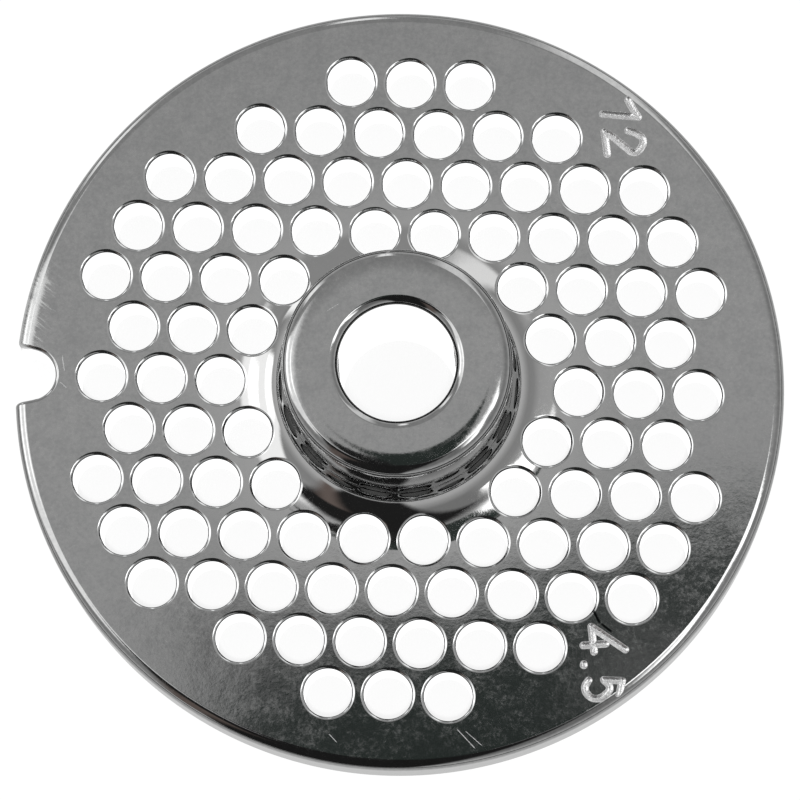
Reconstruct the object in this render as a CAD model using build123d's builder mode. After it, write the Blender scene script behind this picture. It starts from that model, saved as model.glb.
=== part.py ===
"""Perforated plate of a meat grinder: a round disc with a raised hub, a bore and a rim notch.

Sizes are in millimetres. The flat back of the disc lies on z = 0, the bore's axis is Z,
the hub points up, the rows of holes run along X and the notch is on the -X side.
"""

import os
from math import hypot, sqrt

from build123d import *

# Disc
plate_diameter = 70.0
plate_thickness = 5.5
rim_round = 0.9
back_edge_chamfer = 0.3

# Hub, with the hollow flare that joins it to the disc
hub_diameter = 20.6
hub_height = 12.5
hub_round = 1.0
flare_width = 3.3
flare_height = 2.3

# Bore for the stud of the feed screw
bore_diameter = 10.5
bore_mouth_round = 0.8

# Holes that the meat is pressed through
hole_diameter = 4.5
hole_pitch = 5.425
bare_rim_width = 3.8
bare_hub_width = 1.6

# Notch for the locating pin of the grinder's head
notch_mouth_width = 5.4
notch_end_radius = 2.3
notch_depth = 3.65
notch_edge_round = 0.35

plate_radius = plate_diameter / 2
hub_radius = hub_diameter / 2
bore_radius = bore_diameter / 2
hole_radius = hole_diameter / 2
overall_height = plate_thickness + hub_height


def lattice_points(pitch, least_radius, greatest_radius):
    """Points of a triangular lattice about the axis that lie between two radii."""
    row_height = pitch * sqrt(3) / 2
    rows = int(greatest_radius / row_height)
    columns = int(greatest_radius / pitch) + 1
    points = []
    for row in range(-rows, rows + 1):
        row_shift = pitch / 2 * (row % 2)
        for column in range(-columns, columns + 1):
            x = column * pitch + row_shift
            y = row * row_height
            if least_radius <= hypot(x, y) <= greatest_radius:
                points.append((x, y))
    return points


def rings(part, radius):
    """Circular edges of one radius about the axis, lowest first."""
    circles = part.edges().filter_by(GeomType.CIRCLE)
    return circles.filter_by(lambda edge: abs(edge.radius - radius) < 1e-6).sort_by(Axis.Z)


with BuildPart() as grinder_plate:
    # Disc, flare and hub turned as one section
    with BuildSketch(Plane.XZ):
        with BuildLine():
            back = Line((bore_radius, 0), (plate_radius, 0))
            rim = Line(back @ 1, (plate_radius, plate_thickness))
            face = Line(rim @ 1, (hub_radius + flare_width, plate_thickness))
            flare_end = (hub_radius, plate_thickness + flare_height)
            flare = TangentArc(face @ 1, flare_end, tangent=(-1, 0))
            wall = Line(flare @ 1, (hub_radius, overall_height))
            crown = Line(wall @ 1, (bore_radius, overall_height))
            bore = Line(crown @ 1, back @ 0)
        make_face()
    revolve(axis=Axis.Z)

    # Turned edges
    fillet(rings(grinder_plate.part, plate_radius)[-1], rim_round)
    fillet(rings(grinder_plate.part, hub_radius)[-1], hub_round)
    fillet(rings(grinder_plate.part, bore_radius)[-1], bore_mouth_round)

    # Locating notch, round at its inner end and a little wider at its mouth
    notch_centre = notch_depth - notch_end_radius - plate_radius
    with BuildSketch():
        with BuildLine():
            CenterArc((notch_centre, 0), notch_end_radius, 0, 360)
            Line((-plate_radius, -notch_mouth_width / 2), (-plate_radius, notch_mouth_width / 2))
        make_hull()
    extrude(amount=plate_thickness, mode=Mode.SUBTRACT)
    notch_edges = grinder_plate.edges(Select.LAST)
    seams = notch_edges.filter_by(Axis.Z).group_by(Axis.X)[-1]
    back_edges = notch_edges.group_by(Axis.Z)[0]
    fillet(notch_edges - seams - back_edges, notch_edge_round)

    # Outline of the back
    chamfer(rings(grinder_plate.part, plate_radius)[0], back_edge_chamfer)

    # Perforation
    innermost = hub_radius + bare_hub_width + hole_radius
    outermost = plate_radius - bare_rim_width - hole_radius
    with BuildSketch():
        with Locations(*lattice_points(hole_pitch, innermost, outermost)):
            Circle(hole_radius)
    extrude(amount=overall_height, mode=Mode.SUBTRACT)

grinder_plate.part.label = "grinder_plate"

os.makedirs("parts", exist_ok=True)
export_step(grinder_plate.part, "parts/grinder_plate.step")
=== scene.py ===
from math import acos, atan2, cos, hypot, pi, radians, sin, sqrt

import bmesh
import bpy
from mathutils import Euler, Matrix, Vector
from mathutils.kdtree import KDTree


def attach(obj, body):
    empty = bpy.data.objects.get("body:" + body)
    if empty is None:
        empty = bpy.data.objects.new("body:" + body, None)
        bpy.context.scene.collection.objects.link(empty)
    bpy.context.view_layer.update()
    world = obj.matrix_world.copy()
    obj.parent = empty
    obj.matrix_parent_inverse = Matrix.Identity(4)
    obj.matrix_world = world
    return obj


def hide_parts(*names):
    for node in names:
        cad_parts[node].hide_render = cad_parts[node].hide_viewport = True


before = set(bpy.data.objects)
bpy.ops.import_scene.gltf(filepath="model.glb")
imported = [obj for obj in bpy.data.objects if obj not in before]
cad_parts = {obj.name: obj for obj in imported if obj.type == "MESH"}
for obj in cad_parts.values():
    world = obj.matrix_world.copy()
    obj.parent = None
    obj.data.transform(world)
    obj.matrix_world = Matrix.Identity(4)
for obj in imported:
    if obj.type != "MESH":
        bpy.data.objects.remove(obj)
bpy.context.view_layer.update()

# Sizes of the plate in millimetres. It is modelled in them and scaled to metres at the end.
PLATE_RADIUS = 35.0
PLATE_THICKNESS = 5.5
RIM_ROUND = 0.9
RIM_SLACK_RADIUS = 1.2
RIM_SLACK_TURN = 20.0
BACK_CHAMFER = 0.3
HUB_RADIUS = 10.3
HUB_TOP = 18.0
HUB_ROUND = 1.0
CROWN_FLAT_RADIUS = 8.0
CROWN_DROP = 0.05
BORE_RADIUS = 5.25
BORE_ROUND = 0.8
FLARE_RADIUS = 3.5
FLARE_TURN = 69.0
FOOT_RADIUS = 11.0
FOOT_TURN = 12.0
HOLE_RADIUS = 2.19
HOLE_SIZE = 4.5
HOLE_PITCH = 5.425
HOLE_EDGE = 0.24
HOLE_BRIM_RADIUS = 0.5
HOLE_BRIM_TURN = 13.0
HOLE_BRIM_MIDDLE = 9.0
HOLE_BRIM_END = 5.0
BARE_RIM = 3.8
BARE_HUB = 1.6
NOTCH_END_RADIUS = 2.3
NOTCH_DEPTH = 3.65
NOTCH_MOUTH = 5.4
NOTCH_EDGE = 0.36
TURNED_STEPS = 240
HOLE_STEPS = 64
HOLE_EDGE_STEPS = 5
NOTCH_STEPS = 36
SMALLEST_EDGE = 2e-4

# The flare is a hollow round that runs out on the disc in a much slacker one
FLARE_CENTRE = HUB_RADIUS + FLARE_RADIUS * sin(radians(FLARE_TURN))
FOOT_START = FLARE_CENTRE - FLARE_RADIUS * sin(radians(FOOT_TURN))
FOOT_REACH = FOOT_START + FOOT_RADIUS * sin(radians(FOOT_TURN))
FLARE_LIFT = FOOT_RADIUS - (FOOT_RADIUS - FLARE_RADIUS) * cos(radians(FOOT_TURN))

# The face runs into the rim's round in a slacker one
RIM_SLACK_MORE = RIM_SLACK_RADIUS - RIM_ROUND
RIM_SLACK_CENTRE = PLATE_RADIUS - RIM_ROUND - RIM_SLACK_MORE * sin(radians(RIM_SLACK_TURN))
RIM_ROUND_CENTRE = PLATE_THICKNESS - RIM_SLACK_RADIUS + RIM_SLACK_MORE * cos(radians(RIM_SLACK_TURN))
RIM_SLACK_END = PLATE_RADIUS - RIM_ROUND + RIM_ROUND * sin(radians(RIM_SLACK_TURN))

# Zones of the surface, kept as face indices while the plate is cut. The turned ones come first.
ZONES = 16
(BACK, CHAMFER, WALL, RIM, FACE, FLARE, HUB_WALL, HUB_EDGE, CROWN, MOUTH, BORE,
 HOLE_WALL, HOLE_BREAK, NOTCH_WALL, NOTCH_BREAK, GROOVE) = range(ZONES)
LAST_TURNED = BORE


def as_object(bm, name):
    """A mesh object made from a bmesh, which is freed."""
    mesh = bpy.data.meshes.new(name)
    bm.to_mesh(mesh)
    bm.free()
    piece = bpy.data.objects.new(name, mesh)
    bpy.context.scene.collection.objects.link(piece)
    for zone in range(ZONES):
        mesh.materials.append(None)
    return piece


def discard(*pieces):
    """Remove helper objects."""
    for piece in pieces:
        bpy.data.objects.remove(piece)


def cut(piece, cutter, overlaps=False):
    """Cut a closed mesh out of another. A cutter made of crossing strokes overlaps itself."""
    modifier = piece.modifiers.new("cut", "BOOLEAN")
    modifier.operation = "DIFFERENCE"
    modifier.object = cutter
    modifier.solver = "EXACT"
    modifier.use_self = overlaps
    modifier.material_mode = "INDEX"
    bpy.context.view_layer.update()
    graph = bpy.context.evaluated_depsgraph_get()
    result = bpy.data.meshes.new_from_object(piece.evaluated_get(graph))
    piece.modifiers.clear()
    piece.data = result


def turned_section(bm):
    """The plate's half section in the XZ plane, as a closed loop of edges."""
    def place(r, z):
        return bm.verts.new((r, 0, z))

    def arc(start, centre, angle, steps):
        around = bmesh.ops.spin(bm, geom=[start], cent=(centre[0], 0, centre[1]), axis=(0, -1, 0),
                                angle=angle, steps=steps)
        return [part for part in around["geom_last"] if isinstance(part, bmesh.types.BMVert)][0]

    first = place(BORE_RADIUS, 0)
    back_end = place(PLATE_RADIUS - BACK_CHAMFER, 0)
    wall_foot = place(PLATE_RADIUS, BACK_CHAMFER)
    rim_start = place(PLATE_RADIUS, RIM_ROUND_CENTRE)
    rim_turn = radians(RIM_SLACK_TURN)
    rim_middle = arc(rim_start, (PLATE_RADIUS - RIM_ROUND, RIM_ROUND_CENTRE), pi / 2 - rim_turn, 7)
    rim_end = arc(rim_middle, (RIM_SLACK_CENTRE, PLATE_THICKNESS - RIM_SLACK_RADIUS), rim_turn, 4)
    flare_foot = place(FOOT_REACH, PLATE_THICKNESS)
    foot_end = arc(flare_foot, (FOOT_REACH, PLATE_THICKNESS + FOOT_RADIUS), -radians(FOOT_TURN), 8)
    flare_end = arc(foot_end, (FLARE_CENTRE, PLATE_THICKNESS + FLARE_LIFT),
                    -radians(FLARE_TURN - FOOT_TURN), 12)
    edge_top = HUB_TOP - CROWN_DROP
    edge_start = place(HUB_RADIUS, edge_top - HUB_ROUND)
    edge_end = arc(edge_start, (HUB_RADIUS - HUB_ROUND, edge_top - HUB_ROUND), pi / 2, 10)
    crown_edge = place(CROWN_FLAT_RADIUS, HUB_TOP)
    mouth_start = place(BORE_RADIUS + BORE_ROUND, HUB_TOP)
    mouth_end = arc(mouth_start, (BORE_RADIUS + BORE_ROUND, HUB_TOP - BORE_ROUND), pi / 2, 9)
    straight = [(first, back_end), (back_end, wall_foot), (wall_foot, rim_start), (rim_end, flare_foot),
                (flare_end, edge_start), (edge_end, crown_edge), (crown_edge, mouth_start),
                (mouth_end, first)]
    for start, end in straight:
        bm.edges.new((start, end))


def zone_of(r, z):
    """The zone of the turned surface that a point of it lies in."""
    small = 1e-3
    if z < small:
        return BACK
    if r < BORE_RADIUS + small:
        return BORE
    if z > HUB_TOP - BORE_ROUND and r < BORE_RADIUS + BORE_ROUND - small:
        return MOUTH
    if z > HUB_TOP - CROWN_DROP - small:
        return CROWN
    if z > HUB_TOP - CROWN_DROP - HUB_ROUND and r > HUB_RADIUS - HUB_ROUND:
        return HUB_EDGE
    if r < HUB_RADIUS + small:
        return HUB_WALL
    if r < FOOT_REACH - small:
        return FLARE
    if z > PLATE_THICKNESS - small:
        return FACE
    if z > RIM_ROUND_CENTRE:
        return RIM
    return WALL if z > BACK_CHAMFER else CHAMFER


def turned_body():
    """Disc, flare, hub and bore turned in one go."""
    bm = bmesh.new()
    turned_section(bm)
    bmesh.ops.rotate(bm, verts=bm.verts, cent=(0, 0, 0),
                     matrix=Matrix.Rotation(pi / TURNED_STEPS, 3, "Z"))
    bmesh.ops.spin(bm, geom=bm.verts[:] + bm.edges[:], cent=(0, 0, 0), axis=(0, 0, 1), angle=2 * pi,
                   steps=TURNED_STEPS, use_merge=True)
    bmesh.ops.recalc_face_normals(bm, faces=bm.faces)
    for face in bm.faces:
        r = sum(hypot(corner.co.x, corner.co.y) for corner in face.verts) / len(face.verts)
        z = sum(corner.co.z for corner in face.verts) / len(face.verts)
        face.material_index = zone_of(r, z)
    return as_object(bm, "grinder_plate_steel")


def notch_cutter():
    """A prism with the outline of the locating notch, which reaches past the plate all round."""
    bm = bmesh.new()
    reach = 1.0
    centre = NOTCH_DEPTH - NOTCH_END_RADIUS - PLATE_RADIUS
    run = -PLATE_RADIUS - centre
    half_mouth = NOTCH_MOUTH / 2
    spread = atan2(half_mouth, run) - acos(NOTCH_END_RADIUS / hypot(run, half_mouth))
    end_x = centre + NOTCH_END_RADIUS * cos(spread)
    end_y = NOTCH_END_RADIUS * sin(spread)
    first = bm.verts.new((end_x, end_y, -reach))
    around = bmesh.ops.spin(bm, geom=[first], cent=(centre, 0, -reach), axis=(0, 0, -1),
                            angle=2 * spread, steps=NOTCH_STEPS)
    last = [part for part in around["geom_last"] if isinstance(part, bmesh.types.BMVert)][0]
    flare_out = (half_mouth - end_y) / (end_x + PLATE_RADIUS)
    mouth_y = half_mouth + flare_out * reach
    upper = bm.verts.new((-PLATE_RADIUS - reach, mouth_y, -reach))
    lower = bm.verts.new((-PLATE_RADIUS - reach, -mouth_y, -reach))
    for pair in ((first, upper), (upper, lower), (lower, last)):
        bm.edges.new(pair)
    sole = bmesh.ops.edgeloop_fill(bm, edges=bm.edges)["faces"]
    raised = bmesh.ops.extrude_face_region(bm, geom=sole)["geom"]
    tops = [part for part in raised if isinstance(part, bmesh.types.BMVert)]
    bmesh.ops.translate(bm, verts=tops, vec=(0, 0, PLATE_THICKNESS + 2 * reach))
    bmesh.ops.recalc_face_normals(bm, faces=bm.faces)
    for face in bm.faces:
        face.material_index = NOTCH_WALL
    return as_object(bm, "notch_cutter")


def break_notch_edge(piece):
    """Round the notch's upper edge and the two upright edges of its mouth."""
    bm = bmesh.new()
    bm.from_mesh(piece.data)
    edges = []
    for edge in bm.edges:
        zones = {face.material_index for face in edge.link_faces}
        if NOTCH_WALL in zones and zones & {FACE, RIM, WALL, CHAMFER}:
            edges.append(edge)
    made = bmesh.ops.bevel(bm, geom=edges, offset=NOTCH_EDGE, offset_type="OFFSET", segments=5,
                           profile=0.5, affect="EDGES", clamp_overlap=False, material=-1)
    for face in made["faces"]:
        face.material_index = NOTCH_BREAK
    bm.to_mesh(piece.data)
    bm.free()


def hole_centres():
    """Centres of the holes: a triangular lattice between the hub and the bare rim."""
    nearest = HUB_RADIUS + BARE_HUB + HOLE_SIZE / 2
    farthest = PLATE_RADIUS - BARE_RIM - HOLE_SIZE / 2
    row_height = HOLE_PITCH * sqrt(3) / 2
    rows = int(farthest / row_height)
    columns = int(farthest / HOLE_PITCH) + 1
    centres = []
    for row in range(-rows, rows + 1):
        for column in range(-columns, columns + 1):
            x = column * HOLE_PITCH + HOLE_PITCH / 2 * (row % 2)
            y = row * row_height
            if nearest <= hypot(x, y) <= farthest:
                centres.append((x, y))
    return centres


def flare_rise(r):
    """Height of the flare above the disc's face at a distance from the axis."""
    if r > FOOT_START:
        into = max(0.0, FOOT_REACH - r)
        return FOOT_RADIUS - sqrt(FOOT_RADIUS ** 2 - into ** 2)
    into = FLARE_CENTRE - r
    return FLARE_LIFT - sqrt(max(0.0, FLARE_RADIUS ** 2 - into ** 2))


def hole_cutters():
    """Cutters for all the holes, each with a rounded edge that follows the surface round it.

    The brim ends a little below the face, so that the cut has no slivers, and the cutter then goes
    up steeply, so that neighbours don't touch.
    """
    bm = bmesh.new()
    brim = radians(HOLE_BRIM_TURN)
    brim_end = radians(HOLE_BRIM_END)
    sunk = 0.002
    brim_start_r = HOLE_RADIUS + HOLE_EDGE * (1 - sin(brim))
    brim_drop = HOLE_BRIM_RADIUS * (cos(brim_end) - cos(brim)) + sunk
    section = [(HOLE_RADIUS, -1.0)]
    for step in range(HOLE_EDGE_STEPS + 1):
        turn = pi / 2 + (brim - pi / 2) * step / HOLE_EDGE_STEPS
        section.append((HOLE_RADIUS + HOLE_EDGE * (1 - sin(turn)),
                        PLATE_THICKNESS - brim_drop - HOLE_EDGE * (cos(brim) - cos(turn))))
    for turn in (radians(HOLE_BRIM_MIDDLE), brim_end):
        section.append((brim_start_r + HOLE_BRIM_RADIUS * (sin(brim) - sin(turn)),
                        PLATE_THICKNESS - sunk - HOLE_BRIM_RADIUS * (cos(brim_end) - cos(turn))))
    past_face = section[-1][0] + 2 * sunk / sin(brim_end)
    section += [(past_face, PLATE_THICKNESS + sunk), (past_face, PLATE_THICKNESS + 0.5)]
    line = [bm.verts.new((r, 0, z)) for r, z in section]
    for start, end in zip(line, line[1:]):
        bm.edges.new((start, end))
    bmesh.ops.spin(bm, geom=bm.verts[:] + bm.edges[:], cent=(0, 0, 0), axis=(0, 0, 1), angle=2 * pi,
                   steps=HOLE_STEPS, use_merge=True)
    ends = [edge for edge in bm.edges if edge.is_boundary]
    bmesh.ops.holes_fill(bm, edges=ends)
    bmesh.ops.recalc_face_normals(bm, faces=bm.faces)
    for face in bm.faces:
        lowest = min(corner.co.z for corner in face.verts)
        face.material_index = HOLE_WALL if lowest < PLATE_THICKNESS / 2 else HOLE_BREAK
    pattern = bm.verts[:] + bm.edges[:] + bm.faces[:]
    pattern_verts = bm.verts[:]
    for x, y in hole_centres():
        copy = bmesh.ops.duplicate(bm, geom=pattern)
        placed = [part for part in copy["geom"] if isinstance(part, bmesh.types.BMVert)]
        bmesh.ops.translate(bm, verts=placed, vec=(x, y, 0))
        for corner in placed:
            if corner.co.z > PLATE_THICKNESS / 2:
                corner.co.z += flare_rise(hypot(corner.co.x, corner.co.y))
    bmesh.ops.delete(bm, geom=pattern_verts, context="VERTS")
    return as_object(bm, "hole_cutters")


# Centre lines of the stamped size numbers, stroke by stroke
NUMERAL_STROKES = [
    [(17.75, 25.92), (21.02, 25.73)],
    [(21.02, 25.73), (20.47, 26.54), (20.03, 27.32)],
    [(20.11, 24.44), (21.03, 24.11), (21.53, 23.55), (21.34, 22.83), (20.73, 22.38), (20.01, 22.79),
     (19.23, 23.41), (18.51, 23.96), (17.94, 24.23)],
    [(17.94, 24.23), (18.11, 23.23), (18.28, 22.16)],
    [(21.20, -23.41), (18.09, -21.45)],
    [(18.09, -21.45), (18.40, -23.71)],
    [(17.42, -23.17), (19.42, -22.95)],
    [(17.51, -24.86), (17.51, -24.96)],
    [(20.76, -27.63), (21.00, -26.25)],
    [(21.00, -26.25), (19.36, -26.22)],
    [(19.36, -26.22), (19.90, -26.89), (19.55, -27.55), (18.76, -27.94), (18.03, -27.68), (17.67, -26.96),
     (17.99, -26.31)],
]
STROKE_RADIUS = 0.36
STROKE_END_RADIUS = STROKE_RADIUS * 1.004
STROKE_FLATTEN = 0.5
STROKE_LIFT = 0.02


def numeral_cutter():
    """Round-bottomed strokes of the stamped size numbers, as one mesh that cuts the grooves."""
    curve = bpy.data.curves.new("numeral_strokes", "CURVE")
    curve.dimensions = "3D"
    curve.bevel_depth = STROKE_RADIUS
    curve.bevel_resolution = 3
    curve.resolution_u = 4
    curve.use_fill_caps = True
    for points in NUMERAL_STROKES:
        stroke = curve.splines.new("BEZIER")
        stroke.bezier_points.add(len(points) - 1)
        for knot, (x, y) in zip(stroke.bezier_points, points):
            knot.co = (x, y, 0)
            knot.handle_left_type = knot.handle_right_type = "AUTO"
    helper = bpy.data.objects.new("numeral_strokes", curve)
    bpy.context.scene.collection.objects.link(helper)
    graph = bpy.context.evaluated_depsgraph_get()
    tubes = bpy.data.meshes.new_from_object(helper.evaluated_get(graph))
    bm = bmesh.new()
    bm.from_mesh(tubes)
    bmesh.ops.remove_doubles(bm, verts=bm.verts, dist=1e-4)
    for points in NUMERAL_STROKES:
        for x, y in (points[0], points[-1]):
            bmesh.ops.create_uvsphere(bm, u_segments=16, v_segments=8, radius=STROKE_END_RADIUS,
                                      matrix=Matrix.Translation((x, y, 0)))
    bmesh.ops.scale(bm, vec=(1, 1, STROKE_FLATTEN), verts=bm.verts)
    bmesh.ops.translate(bm, vec=(0, 0, PLATE_THICKNESS + STROKE_LIFT), verts=bm.verts)
    bmesh.ops.recalc_face_normals(bm, faces=bm.faces)
    for face in bm.faces:
        face.material_index = GROOVE
    discard(helper)
    return as_object(bm, "numeral_cutter")


def merge_doubles(piece):
    """Close up the very short edges that cutting leaves."""
    bm = bmesh.new()
    bm.from_mesh(piece.data)
    bmesh.ops.remove_doubles(bm, verts=bm.verts, dist=SMALLEST_EDGE)
    bm.to_mesh(piece.data)
    bm.free()


def radial(co):
    """Unit vector from the plate's axis towards a point, level."""
    return Vector((co.x, co.y, 0)).normalized()


def round_normal(co, ring_radius, ring_height):
    """Normal of a turned round whose section is centred on a ring."""
    out = radial(co)
    return (out * (hypot(co.x, co.y) - ring_radius) + Vector((0, 0, co.z - ring_height))).normalized()


def turned_normal(zone, co):
    """Exact normal of the turned surface at a point of one of its zones."""
    up = Vector((0, 0, 1))
    out = radial(co)
    if zone == BACK:
        return -up
    if zone == CHAMFER:
        return (out - up).normalized()
    if zone in (WALL, HUB_WALL):
        return out
    if zone == BORE:
        return -out
    if zone == RIM:
        if hypot(co.x, co.y) < RIM_SLACK_END:
            return round_normal(co, RIM_SLACK_CENTRE, PLATE_THICKNESS - RIM_SLACK_RADIUS)
        return round_normal(co, PLATE_RADIUS - RIM_ROUND, RIM_ROUND_CENTRE)
    if zone == FLARE:
        if hypot(co.x, co.y) > FOOT_START:
            return -round_normal(co, FOOT_REACH, PLATE_THICKNESS + FOOT_RADIUS)
        return -round_normal(co, FLARE_CENTRE, PLATE_THICKNESS + FLARE_LIFT)
    if zone == MOUTH:
        return round_normal(co, BORE_RADIUS + BORE_ROUND, HUB_TOP - BORE_ROUND)
    crown_width = HUB_RADIUS - HUB_ROUND - CROWN_FLAT_RADIUS
    crown_tilt = 2 * CROWN_DROP / crown_width
    if zone == CROWN:
        tilt = crown_tilt * max(0.0, hypot(co.x, co.y) - CROWN_FLAT_RADIUS) / crown_width
        return (up + out * tilt).normalized()
    if zone == HUB_EDGE:
        plain = round_normal(co, HUB_RADIUS - HUB_ROUND, HUB_TOP - CROWN_DROP - HUB_ROUND)
        turn = atan2(max(0.0, plain.dot(out)), max(0.0, plain.z))
        turn = crown_tilt + turn * (1 - crown_tilt / (pi / 2))
        return out * sin(turn) + up * cos(turn)
    return up


def hole_edge_lean(r):
    """Sine of the slope of a hole's edge at a distance from the hole's axis."""
    brim = sin(radians(HOLE_BRIM_TURN))
    steep = HOLE_EDGE * (1 - brim)
    if r - HOLE_RADIUS < steep:
        return min(1.0, 1 - (r - HOLE_RADIUS) / HOLE_EDGE)
    return max(0.0, brim - (r - HOLE_RADIUS - steep) / HOLE_BRIM_RADIUS)


def settle_normals(piece):
    """Give each corner the normal of the surface it belongs to, so that the polish reads true."""
    mesh = piece.data
    centres = KDTree(len(hole_centres()))
    for index, (x, y) in enumerate(hole_centres()):
        centres.insert((x, y, 0), index)
    centres.balance()
    bm = bmesh.new()
    bm.from_mesh(mesh)
    bm.normal_update()
    normals = []
    for face in bm.faces:
        zone = face.material_index
        if zone in (HOLE_WALL, HOLE_BREAK):
            middle = face.calc_center_median()
            axis = centres.find((middle.x, middle.y, 0))[0]
        for corner in face.loops:
            co = corner.vert.co
            if zone <= LAST_TURNED:
                normal = turned_normal(zone, co)
            elif zone in (HOLE_WALL, HOLE_BREAK):
                away = Vector((co.x - axis.x, co.y - axis.y, 0))
                lean = hole_edge_lean(away.length)
                surface = turned_normal(FLARE if hypot(co.x, co.y) < FOOT_REACH else FACE, co)
                if zone == HOLE_WALL or co.z < PLATE_THICKNESS / 2:
                    lean = 1.0
                normal = (surface * sqrt(1 - lean ** 2) - away.normalized() * lean).normalized()
            else:
                normal = blended_normal(corner, zone)
            normals.append(normal)
    bm.free()
    mesh.shade_smooth()
    mesh.normals_split_custom_set(normals)


def mark_grooves(piece):
    """Note which corners lie in the stamped numbers."""
    stamped = piece.data.attributes.new("stamped", "FLOAT", "CORNER")
    for face in piece.data.polygons:
        if face.material_index == GROOVE:
            for corner in face.loop_indices:
                stamped.data[corner].value = 1.0


def mark_hole_edges(piece):
    """Note how near each corner is to the steep part of a hole's edge: 1 there, less further off. The
    steel paints shade where it is near 1 and a glint further out.
    """
    mesh = piece.data
    shade = mesh.attributes.new("hole_edge", "FLOAT", "CORNER")
    centres = hole_centres()
    for face in mesh.polygons:
        if face.material_index not in (HOLE_WALL, HOLE_BREAK):
            continue
        for loop in face.loop_indices:
            co = mesh.vertices[mesh.loops[loop].vertex_index].co
            if face.material_index == HOLE_WALL:
                # The wall runs from 1 at the top to -2 at the bottom, so that the painted shade darkens
                # only its top
                shade.data[loop].value = 1.0 if co.z > PLATE_THICKNESS / 2 else -2.0
            else:
                away = min(hypot(co.x - x, co.y - y) for x, y in centres)
                shade.data[loop].value = 1.0 - 0.45 * (away - HOLE_RADIUS) / HOLE_EDGE


def blended_normal(corner, zone):
    """Normal of a cut or rounded corner, taken from the smooth surfaces that meet there."""
    around = corner.vert.link_faces
    if zone == NOTCH_BREAK:
        for face in around:
            if face.material_index <= LAST_TURNED:
                return turned_normal(face.material_index, corner.vert.co)
    total = Vector((0, 0, 0))
    own = corner.face.normal
    for face in around:
        same = face.material_index == zone or {face.material_index, zone} == {NOTCH_WALL, NOTCH_BREAK}
        if same and face.normal.dot(own) > 0.7:
            total += face.normal
    return total.normalized()


class Value:
    """A number or colour in a shader, with arithmetic that adds the nodes it needs."""

    def __init__(self, tree, socket):
        self.tree = tree
        self.socket = socket

    def maths(self, operation, *others):
        node = self.tree.add("Math", {"operation": operation}, dict(enumerate((self,) + others)))
        return node.out()

    def __add__(self, other):
        return self.maths("ADD", other)

    def __radd__(self, other):
        return self.maths("ADD", other)

    def __sub__(self, other):
        return self.maths("SUBTRACT", other)

    def __rsub__(self, other):
        return (self * -1) + other

    def __mul__(self, other):
        return self.maths("MULTIPLY", other)

    def __rmul__(self, other):
        return self.maths("MULTIPLY", other)

    def __truediv__(self, other):
        return self.maths("DIVIDE", other)

    def __pow__(self, other):
        return self.maths("POWER", other)

    def at_most(self, other):
        return self.maths("MINIMUM", other)

    def at_least(self, other):
        return self.maths("MAXIMUM", other)

    def size(self):
        return self.maths("ABSOLUTE")


class Node:
    """One shader node."""

    def __init__(self, tree, node):
        self.tree = tree
        self.node = node

    def out(self, name=0):
        return Value(self.tree, self.node.outputs[name])


def grey(level):
    """A neutral colour."""
    return (level, level, level, 1)


class Tree:
    """Adds and links the nodes of one material or world."""

    def __init__(self, owner):
        owner.use_nodes = True
        self.nodes = owner.node_tree.nodes
        self.links = owner.node_tree.links
        self.nodes.clear()

    def add(self, kind, settings=None, sockets=None):
        """A node of a kind, with its settings made first and then its sockets' values or links."""
        node = self.nodes.new("ShaderNode" + kind)
        for name, value in (settings or {}).items():
            if name == "stops":
                ramp = node.color_ramp
                while len(ramp.elements) < len(value):
                    ramp.elements.new(0.5)
                for stop, (place, level) in zip(ramp.elements, value):
                    stop.position = place
                    stop.color = grey(level)
            else:
                setattr(node, name, value)
        for name, value in (sockets or {}).items():
            if isinstance(value, Value):
                self.links.new(value.socket, node.inputs[name])
            else:
                node.inputs[name].default_value = value
        return Node(self, node)

    def smooth(self, value, low, high):
        """0 below low and 1 above high, with a smooth rise between them."""
        return self.add("MapRange", {"interpolation_type": "SMOOTHSTEP"},
                        {"Value": value, "From Min": low, "From Max": high}).out()

    def mix(self, share, first, second):
        """A colour between two colours."""
        return self.add("Mix", {"data_type": "RGBA"}, {0: share, 6: first, 7: second}).out(2)

    def dot(self, vector, constant):
        return self.add("VectorMath", {"operation": "DOT_PRODUCT"}, {0: vector, 1: constant}).out(1)

    def noise(self, place, scale, detail=2.0, roughness=0.5):
        return self.add("TexNoise", {}, {"Vector": place, "Scale": scale, "Detail": detail,
                                         "Roughness": roughness}).out()


# Start, end and half width of each scratch, in millimetres
SCRATCHES = [
    ((6.2, -31.0), (8.1, -32.9), 0.05),
    ((7.0, -31.2), (8.7, -32.6), 0.04),
    ((-5.2, -31.9), (-4.4, -32.7), 0.05),
    ((-30.8, 1.9), (-30.5, 0.3), 0.07),
    ((-30.9, -0.6), (-30.2, -1.2), 0.05),
    ((-1.4, 9.6), (-0.9, 10.1), 0.1),
    ((8.1, 6.9), (8.5, 7.2), 0.12),
    ((-6.4, 4.3), (-5.2, 5.1), 0.03),
]
DARK_CUTS = [((18.2, -19.9), (18.9, -21.2), 0.16), ((18.9, -21.1), (20.0, -21.9), 0.14)]

# Colours of the steel, some of them painted light: sheen round the hub, shade under the hub's edge and at
# the holes' edges, glints on the holes' brims
DARK_GRAIN = (0.54, 0.545, 0.545, 1)
LIGHT_GRAIN = (0.69, 0.69, 0.685, 1)
PAINTED_SHEEN_ROUND_THE_HUB = (0.8, 0.8, 0.795, 1)
PAINTED_SHADE_UNDER_HUB_EDGE = (0.4, 0.4, 0.4, 1)
PAINTED_GLINT_ON_HOLE_BRIMS = (0.9, 0.91, 0.91, 1)
SCUFF = (0.97, 0.98, 0.97, 1)
SCRATCH = (0.85, 0.85, 0.85, 1)
GROOVE_BOTTOM = (0.95, 0.95, 0.95, 1)
DIRT_AND_PAINTED_EDGE_SHADE = (0.03, 0.035, 0.035, 1)


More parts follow.
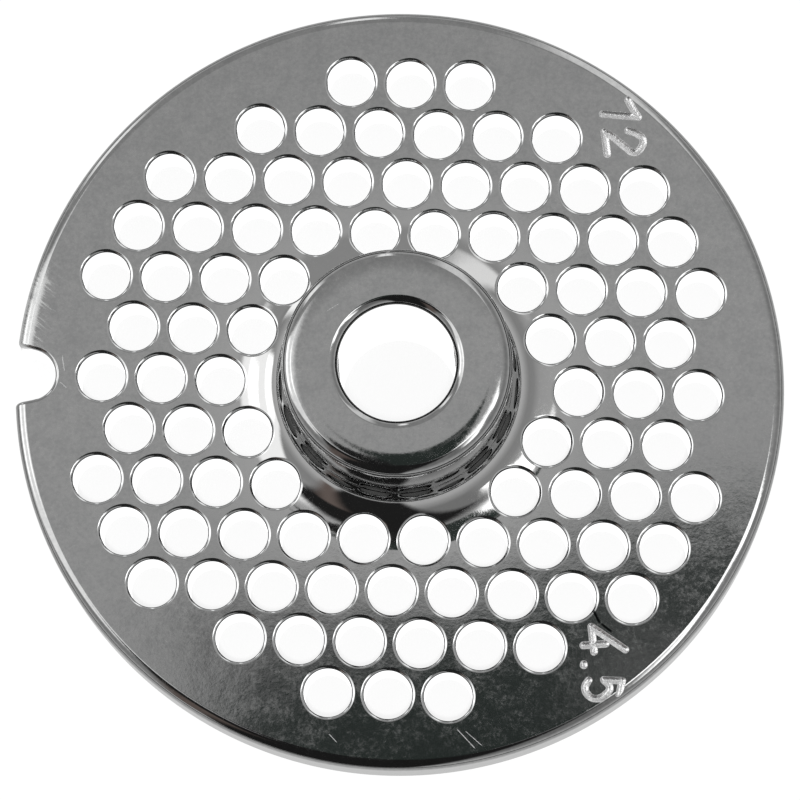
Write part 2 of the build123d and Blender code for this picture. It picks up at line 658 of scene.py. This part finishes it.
def steel():
    """Polished stainless steel with a cloudy haze, scratches, dark cuts and dull stamped grooves, with
    painted light: a sheen round the hub, shade on the hub's wall and at the holes' edges, and glints on
    the holes' brims.
    """
    material = bpy.data.materials.new("polished_steel")
    tree = Tree(material)
    place = tree.add("TexCoord").out("Object")
    parts = tree.add("SeparateXYZ", {}, {0: place})
    x = parts.out(0) * 1000
    y = parts.out(1) * 1000
    z = parts.out(2) * 1000
    cloud = tree.noise(place, 520.0, 4.0, 0.7)
    grain = tree.noise(place, 2600.0, 3.0, 0.75)
    broad = tree.noise(place, 90.0, 2.0)
    haze = tree.smooth(cloud * 0.45 + grain * 0.55, 0.46, 0.64)

    def scratch(start, end, width):
        run = Vector(end) - Vector(start)
        across = ((x - start[0]) * run.y - (y - start[1]) * run.x).size() / run.length
        along = ((x - start[0]) * run.x + (y - start[1]) * run.y) / run.length_squared
        return (1 - tree.smooth(across, width * 0.4, width)) * tree.smooth(along, 0.0, 0.15) \
            * (1 - tree.smooth(along, 0.85, 1.0))

    worn = scratch(*SCRATCHES[0])
    for mark in SCRATCHES[1:]:
        worn = worn.at_least(scratch(*mark))
    on_top = tree.smooth(z, 4.5, 5.0)
    worn = worn * on_top
    gouged = scratch(*DARK_CUTS[0]).at_least(scratch(*DARK_CUTS[1])) * on_top
    lengthwise = x * 0.82 - y * 0.57
    crosswise = x * 0.57 + y * 0.82
    brushing = tree.add("CombineXYZ", {}, {0: lengthwise * 0.55, 1: crosswise * 4.5, 2: 0.0}).out()
    streaks = tree.noise(brushing, 1.0, 3.0, 0.6)
    from_axis = (x * x + y * y) ** 0.5
    from_rim = PLATE_RADIUS - from_axis
    # Painted shade: the hub's wall below its rounded edge is darkened so that its reflections go dark
    painted_shade_on_hub_wall = (tree.smooth(z, 7.4, 8.2) * (1 - tree.smooth(z, 16.8, 17.2))
                * tree.smooth(from_axis, 9.6, 9.9))
    beside_notch = (tree.smooth(y, 1.9, 2.4) * (1 - tree.smooth(y, 7.5, 11.5))
                    * (1 - tree.smooth(x, -31.5, -29.0)) * on_top)
    scuffed = beside_notch * tree.smooth(streaks - from_rim * 0.12, 0.22, 0.56)
    bend_width = (1.7 - from_rim).at_least(0)
    bend_slope = bend_width.at_most(0.7)
    bent = beside_notch * bend_slope * (2 * bend_width - bend_slope)
    # Painted sheen: the steel is made lighter near the hub so that the flare's reflections glow brighter
    painted_sheen_near_hub = (1 - tree.smooth(from_axis, 13.0, 23.0)) * (1 - tree.smooth(z, 6.5, 7.4))
    stamped = tree.add("Attribute", {"attribute_name": "stamped"}).out("Fac")
    near_hole = tree.add("Attribute", {"attribute_name": "hole_edge"}).out("Fac")
    # Painted shade: the steep top of each hole's edge and the top of its wall are darkened
    edge = tree.smooth(near_hole, 0.87, 0.93)
    colour = tree.mix(tree.smooth(grain * 0.6 + cloud * 0.4, 0.3, 0.7), DARK_GRAIN, LIGHT_GRAIN)
    colour = tree.mix(painted_sheen_near_hub * 0.8, colour, PAINTED_SHEEN_ROUND_THE_HUB)
    colour = tree.mix(painted_shade_on_hub_wall, colour, PAINTED_SHADE_UNDER_HUB_EDGE)
    # Painted glint: the brims round the holes are made lighter so that their reflections shine whiter
    colour = tree.mix(tree.smooth(near_hole, 0.5, 0.7), colour, PAINTED_GLINT_ON_HOLE_BRIMS)
    colour = tree.mix(scuffed * 0.7, colour, SCUFF)
    colour = tree.mix(worn * 0.6, colour, SCRATCH)
    colour = tree.mix(stamped, colour, GROOVE_BOTTOM)
    # Dirt in the dark cuts, and painted shade at the holes' edges
    colour = tree.mix(gouged.at_least(edge), colour, DIRT_AND_PAINTED_EDGE_SHADE)
    metallic = 1 - (stamped * 0.12).at_least(worn * 0.25).at_least(scuffed * 0.15)
    rough = (0.042 + 0.012 * broad + 0.05 * haze + 0.25 * worn + 0.22 * scuffed).at_least(stamped * 0.22)
    relief = grain * (0.8 + stamped * 40) + cloud * 3.0 + broad * 14.0 - bent * 50.0
    bump = tree.add("Bump", {}, {"Strength": 1.0, "Distance": 0.000001, "Height": relief}).out()
    shader = tree.add("BsdfPrincipled", {}, {"Base Color": colour, "Metallic": metallic,
                                             "Roughness": rough, "Normal": bump}).out()
    tree.add("OutputMaterial", {}, {"Surface": shader})
    return material


def towards(azimuth, elevation):
    """Unit vector in a direction given in degrees."""
    level = cos(radians(elevation))
    return Vector((level * cos(radians(azimuth)), level * sin(radians(azimuth)), sin(radians(elevation))))


# Height of a direction and the brightness of the plain studio there
STUDIO_WALLS = [(0.0, 0.5), (0.17, 0.45), (0.34, 0.34), (0.5, 0.26), (0.7, 0.27), (0.87, 0.36),
                (0.985, 0.42)]

# What hangs in the studio, the later ones in front of the earlier ones. A panel has the azimuth and
# elevation of its middle, its width, height and softness, in degrees. An overhead patch has its
# place, half width and half height on a level plane one unit up, its turn in degrees and its
# softness. The brightness comes next, then the share of red and of blue in it where it isn't grey.
STUDIO = [
    ("panel", (105, 55, 40, 40, 6), 0.29),
    ("panel", (67, 28, 14, 74, 4), 0.85),
    ("overhead", (0.451, -0.251, 0.475, 0.1, -45, 0.03), 2.0),
    ("overhead", (0.375, 0.035, 0.26, 0.05, -15, 0.02), 2.0),
    ("panel", (176, 48, 34, 62, 3), 1.1),
    ("overhead", (-0.42, 0.15, 0.1, 0.09, 0, 0.025), 1.8),
    ("panel", (172, 30, 24, 20, 2.5), 1.8),
    ("panel", (134, 22, 10, 30, 3), 1.2),
    ("panel", (98, 26, 5, 26, 1.5), 1.2),
    ("panel", (-62, 56, 26, 48, 5), 0.2),
    ("panel", (-104, 42, 44, 80, 4), 0.015),
    ("panel", (-129, 36, 9, 50, 4), 0.11, 1.25, 0.9),
    ("overhead", (-0.057, 0.1225, 0.017, 0.0105, 0, 0.006), 0.28),
    ("overhead", (-0.0205, 0.02, 0.0235, 0.112, 12, 0.007), 0.15),
    ("overhead", (-0.075, -0.097, 0.045, 0.165, 0, 0.006), 0.015),
    ("overhead", (0.018, -0.06, 0.0525, 0.17, 0, 0.008), 0.015),
    ("overhead", (-0.0605, 0.1115, 0.0145, 0.0065, -25, 0.004), 0.4),
    ("overhead", (0.0, 0.094, 0.04, 0.01, 0, 0.005), 0.09, 1.08, 0.97),
    ("overhead", (0.049, -0.002, 0.062, 0.146, 22, 0.008), 0.038, 0.8, 0.92),
    ("overhead", (0.029, 0.118, 0.012, 0.01, 0, 0.008), 0.14),
]


def light_world():
    """A plain studio: mid-grey ceiling, soft lights, dark stand above the camera.

    Only the steel's reflections show it. The camera sees white.
    """
    world = bpy.data.worlds.new("studio")
    bpy.context.scene.world = world
    tree = Tree(world)
    way = tree.add("TexCoord").out("Generated")

    def panel(azimuth, elevation, width, height, softness):
        middle = towards(azimuth, elevation)
        side = Vector((0, 0, 1)).cross(middle).normalized()
        rise = middle.cross(side)
        depth = tree.dot(way, middle)
        ahead = tree.smooth(depth, 0.0, 0.05)
        across = (tree.dot(way, side) / depth.at_least(0.01)).size()
        along = (tree.dot(way, rise) / depth.at_least(0.01)).size()
        soft = radians(softness)
        half_width = sin(radians(width / 2)) / cos(radians(width / 2))
        half_height = sin(radians(height / 2)) / cos(radians(height / 2))
        return (ahead * (1 - tree.smooth(across, half_width - soft, half_width + soft))
                * (1 - tree.smooth(along, half_height - soft, half_height + soft)))

    def overhead(x, y, half_width, half_height, turn, softness):
        side = Vector((cos(radians(turn)), sin(radians(turn)), 0))
        rise = Vector((-side.y, side.x, 0))
        middle = Vector((x, y, 0))
        across = (tree.dot(way, side) / height.at_least(0.01) - middle.dot(side)).size()
        along = (tree.dot(way, rise) / height.at_least(0.01) - middle.dot(rise)).size()
        return ((1 - tree.smooth(across, half_width - softness, half_width + softness))
                * (1 - tree.smooth(along, half_height - softness, half_height + softness))
                * tree.smooth(height, 0.5, 0.7))

    height = tree.dot(way, (0, 0, 1))
    shown = tree.add("ValToRGB", {"stops": STUDIO_WALLS}, {"Fac": height}).out()
    masks = {"panel": panel, "overhead": overhead}

    def lit(mask, level, red=1.0, blue=1.0):
        return tree.mix(mask, shown, (level * red, level, level * blue, 1))

    for kind, form, *light in STUDIO:
        shown = lit(masks[kind](*form), *light)
    rays = tree.add("LightPath")
    white = (rays.out("Is Camera Ray") + rays.out("Is Transmission Ray")
             + rays.out("Is Glossy Ray") * (1 - tree.smooth(height, -0.01, 0.0))).at_most(1)
    soft = tree.mix(rays.out("Is Glossy Ray"), grey(0.5), shown)
    colour = tree.mix(white, soft, grey(1))
    background = tree.add("Background", {}, {"Color": colour, "Strength": 1.0}).out()
    tree.add("OutputWorld", {}, {"Surface": background})


def pale_floor():
    """Pale floor that the plate lies on, white to the camera with a faint shadow. The brightness the
    steel mirrors from it is painted: a glow under the plate, painted shade fading out in rings round it
    and after a second bounce.
    """
    bm = bmesh.new()
    bmesh.ops.create_grid(bm, x_segments=1, y_segments=1, size=1.5)
    mesh = bpy.data.meshes.new("floor")
    bm.to_mesh(mesh)
    bm.free()
    floor = bpy.data.objects.new("floor", mesh)
    bpy.context.scene.collection.objects.link(floor)
    material = bpy.data.materials.new("pale_floor")
    tree = Tree(material)
    rays = tree.add("LightPath")
    direct = (rays.out("Is Camera Ray") + rays.out("Is Transmission Ray")).at_most(1)
    mirrored = rays.out("Is Glossy Ray")
    colour = tree.mix(direct, grey(0.8), grey(0.2))
    colour = tree.mix(mirrored, colour, grey(0.04))
    paint = tree.add("BsdfDiffuse", {}, {"Color": colour}).out()
    # Painted shade: reflections that bounce a second time see the floor darker
    second_bounce_shade = (rays.out("Glossy Depth") - 1).at_least(0).at_most(1)
    place = tree.add("TexCoord").out("Object")
    away = tree.add("VectorMath", {"operation": "LENGTH"}, {0: place}).out(1)
    spot = tree.add("SeparateXYZ", {}, {0: place})
    in_notch = ((1 - tree.smooth(spot.out(1).size(), 0.0028, 0.0032))
                * tree.smooth(spot.out(0), -0.0358, -0.035)
                * (1 - tree.smooth(spot.out(0), -0.03, -0.029)))
    # Painted glow under the plate, seen through the holes, and painted shade in rings round it
    outside = tree.smooth(away, 0.0345, 0.0349) * (1 - in_notch)
    level = tree.mix(outside, grey(1.45), grey(0.6))
    level = tree.mix(tree.smooth(away, 0.0355, 0.045), level, grey(0.4))
    level = tree.mix(tree.smooth(away, 0.05, 0.09), level, grey(0.02))
    level = tree.mix(second_bounce_shade, level, grey(0.15))
    level = tree.mix(mirrored, grey(0), level)
    level = tree.mix(direct, level, grey(0.85))
    glow = tree.add("Emission", {}, {"Color": level, "Strength": 1.0}).out()
    both = tree.add("AddShader", {}, {0: paint, 1: glow}).out()
    tree.add("OutputMaterial", {}, {"Surface": both})
    mesh.materials.append(material)


plate = turned_body()
notch = notch_cutter()
cut(plate, notch)
break_notch_edge(plate)
numerals = numeral_cutter()
cut(plate, numerals, overlaps=True)
holes = hole_cutters()
cut(plate, holes)
discard(notch, holes, numerals)
merge_doubles(plate)

settle_normals(plate)
mark_grooves(plate)
mark_hole_edges(plate)
plate.data.materials.clear()
plate.data.materials.append(steel())
for face in plate.data.polygons:
    face.material_index = 0
plate.data.transform(Matrix.Scale(0.001, 4))
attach(plate, "root")
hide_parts("grinder_plate")

pale_floor()
light_world()

camera_place = Matrix.Translation((0.01082, -0.07945, 0.45531)) @ Euler(
    (radians(9.897), radians(1.007), radians(2.040))).to_matrix().to_4x4()
camera_data = bpy.data.cameras.new("camera")
camera_data.lens = 226.2
camera_data.clip_start = 0.01
camera = bpy.data.objects.new("camera", camera_data)
camera.matrix_world = camera_place
bpy.context.scene.collection.objects.link(camera)
bpy.context.scene.camera = camera
bpy.context.scene.view_settings.view_transform = "Standard"

lamp_data = bpy.data.lights.new("front_lamp", "SUN")
lamp_data.energy = 1.4
lamp_data.angle = radians(4)
lamp = bpy.data.objects.new("front_lamp", lamp_data)
lamp.matrix_world = camera_place
lamp.visible_glossy = False
bpy.context.scene.collection.objects.link(lamp)
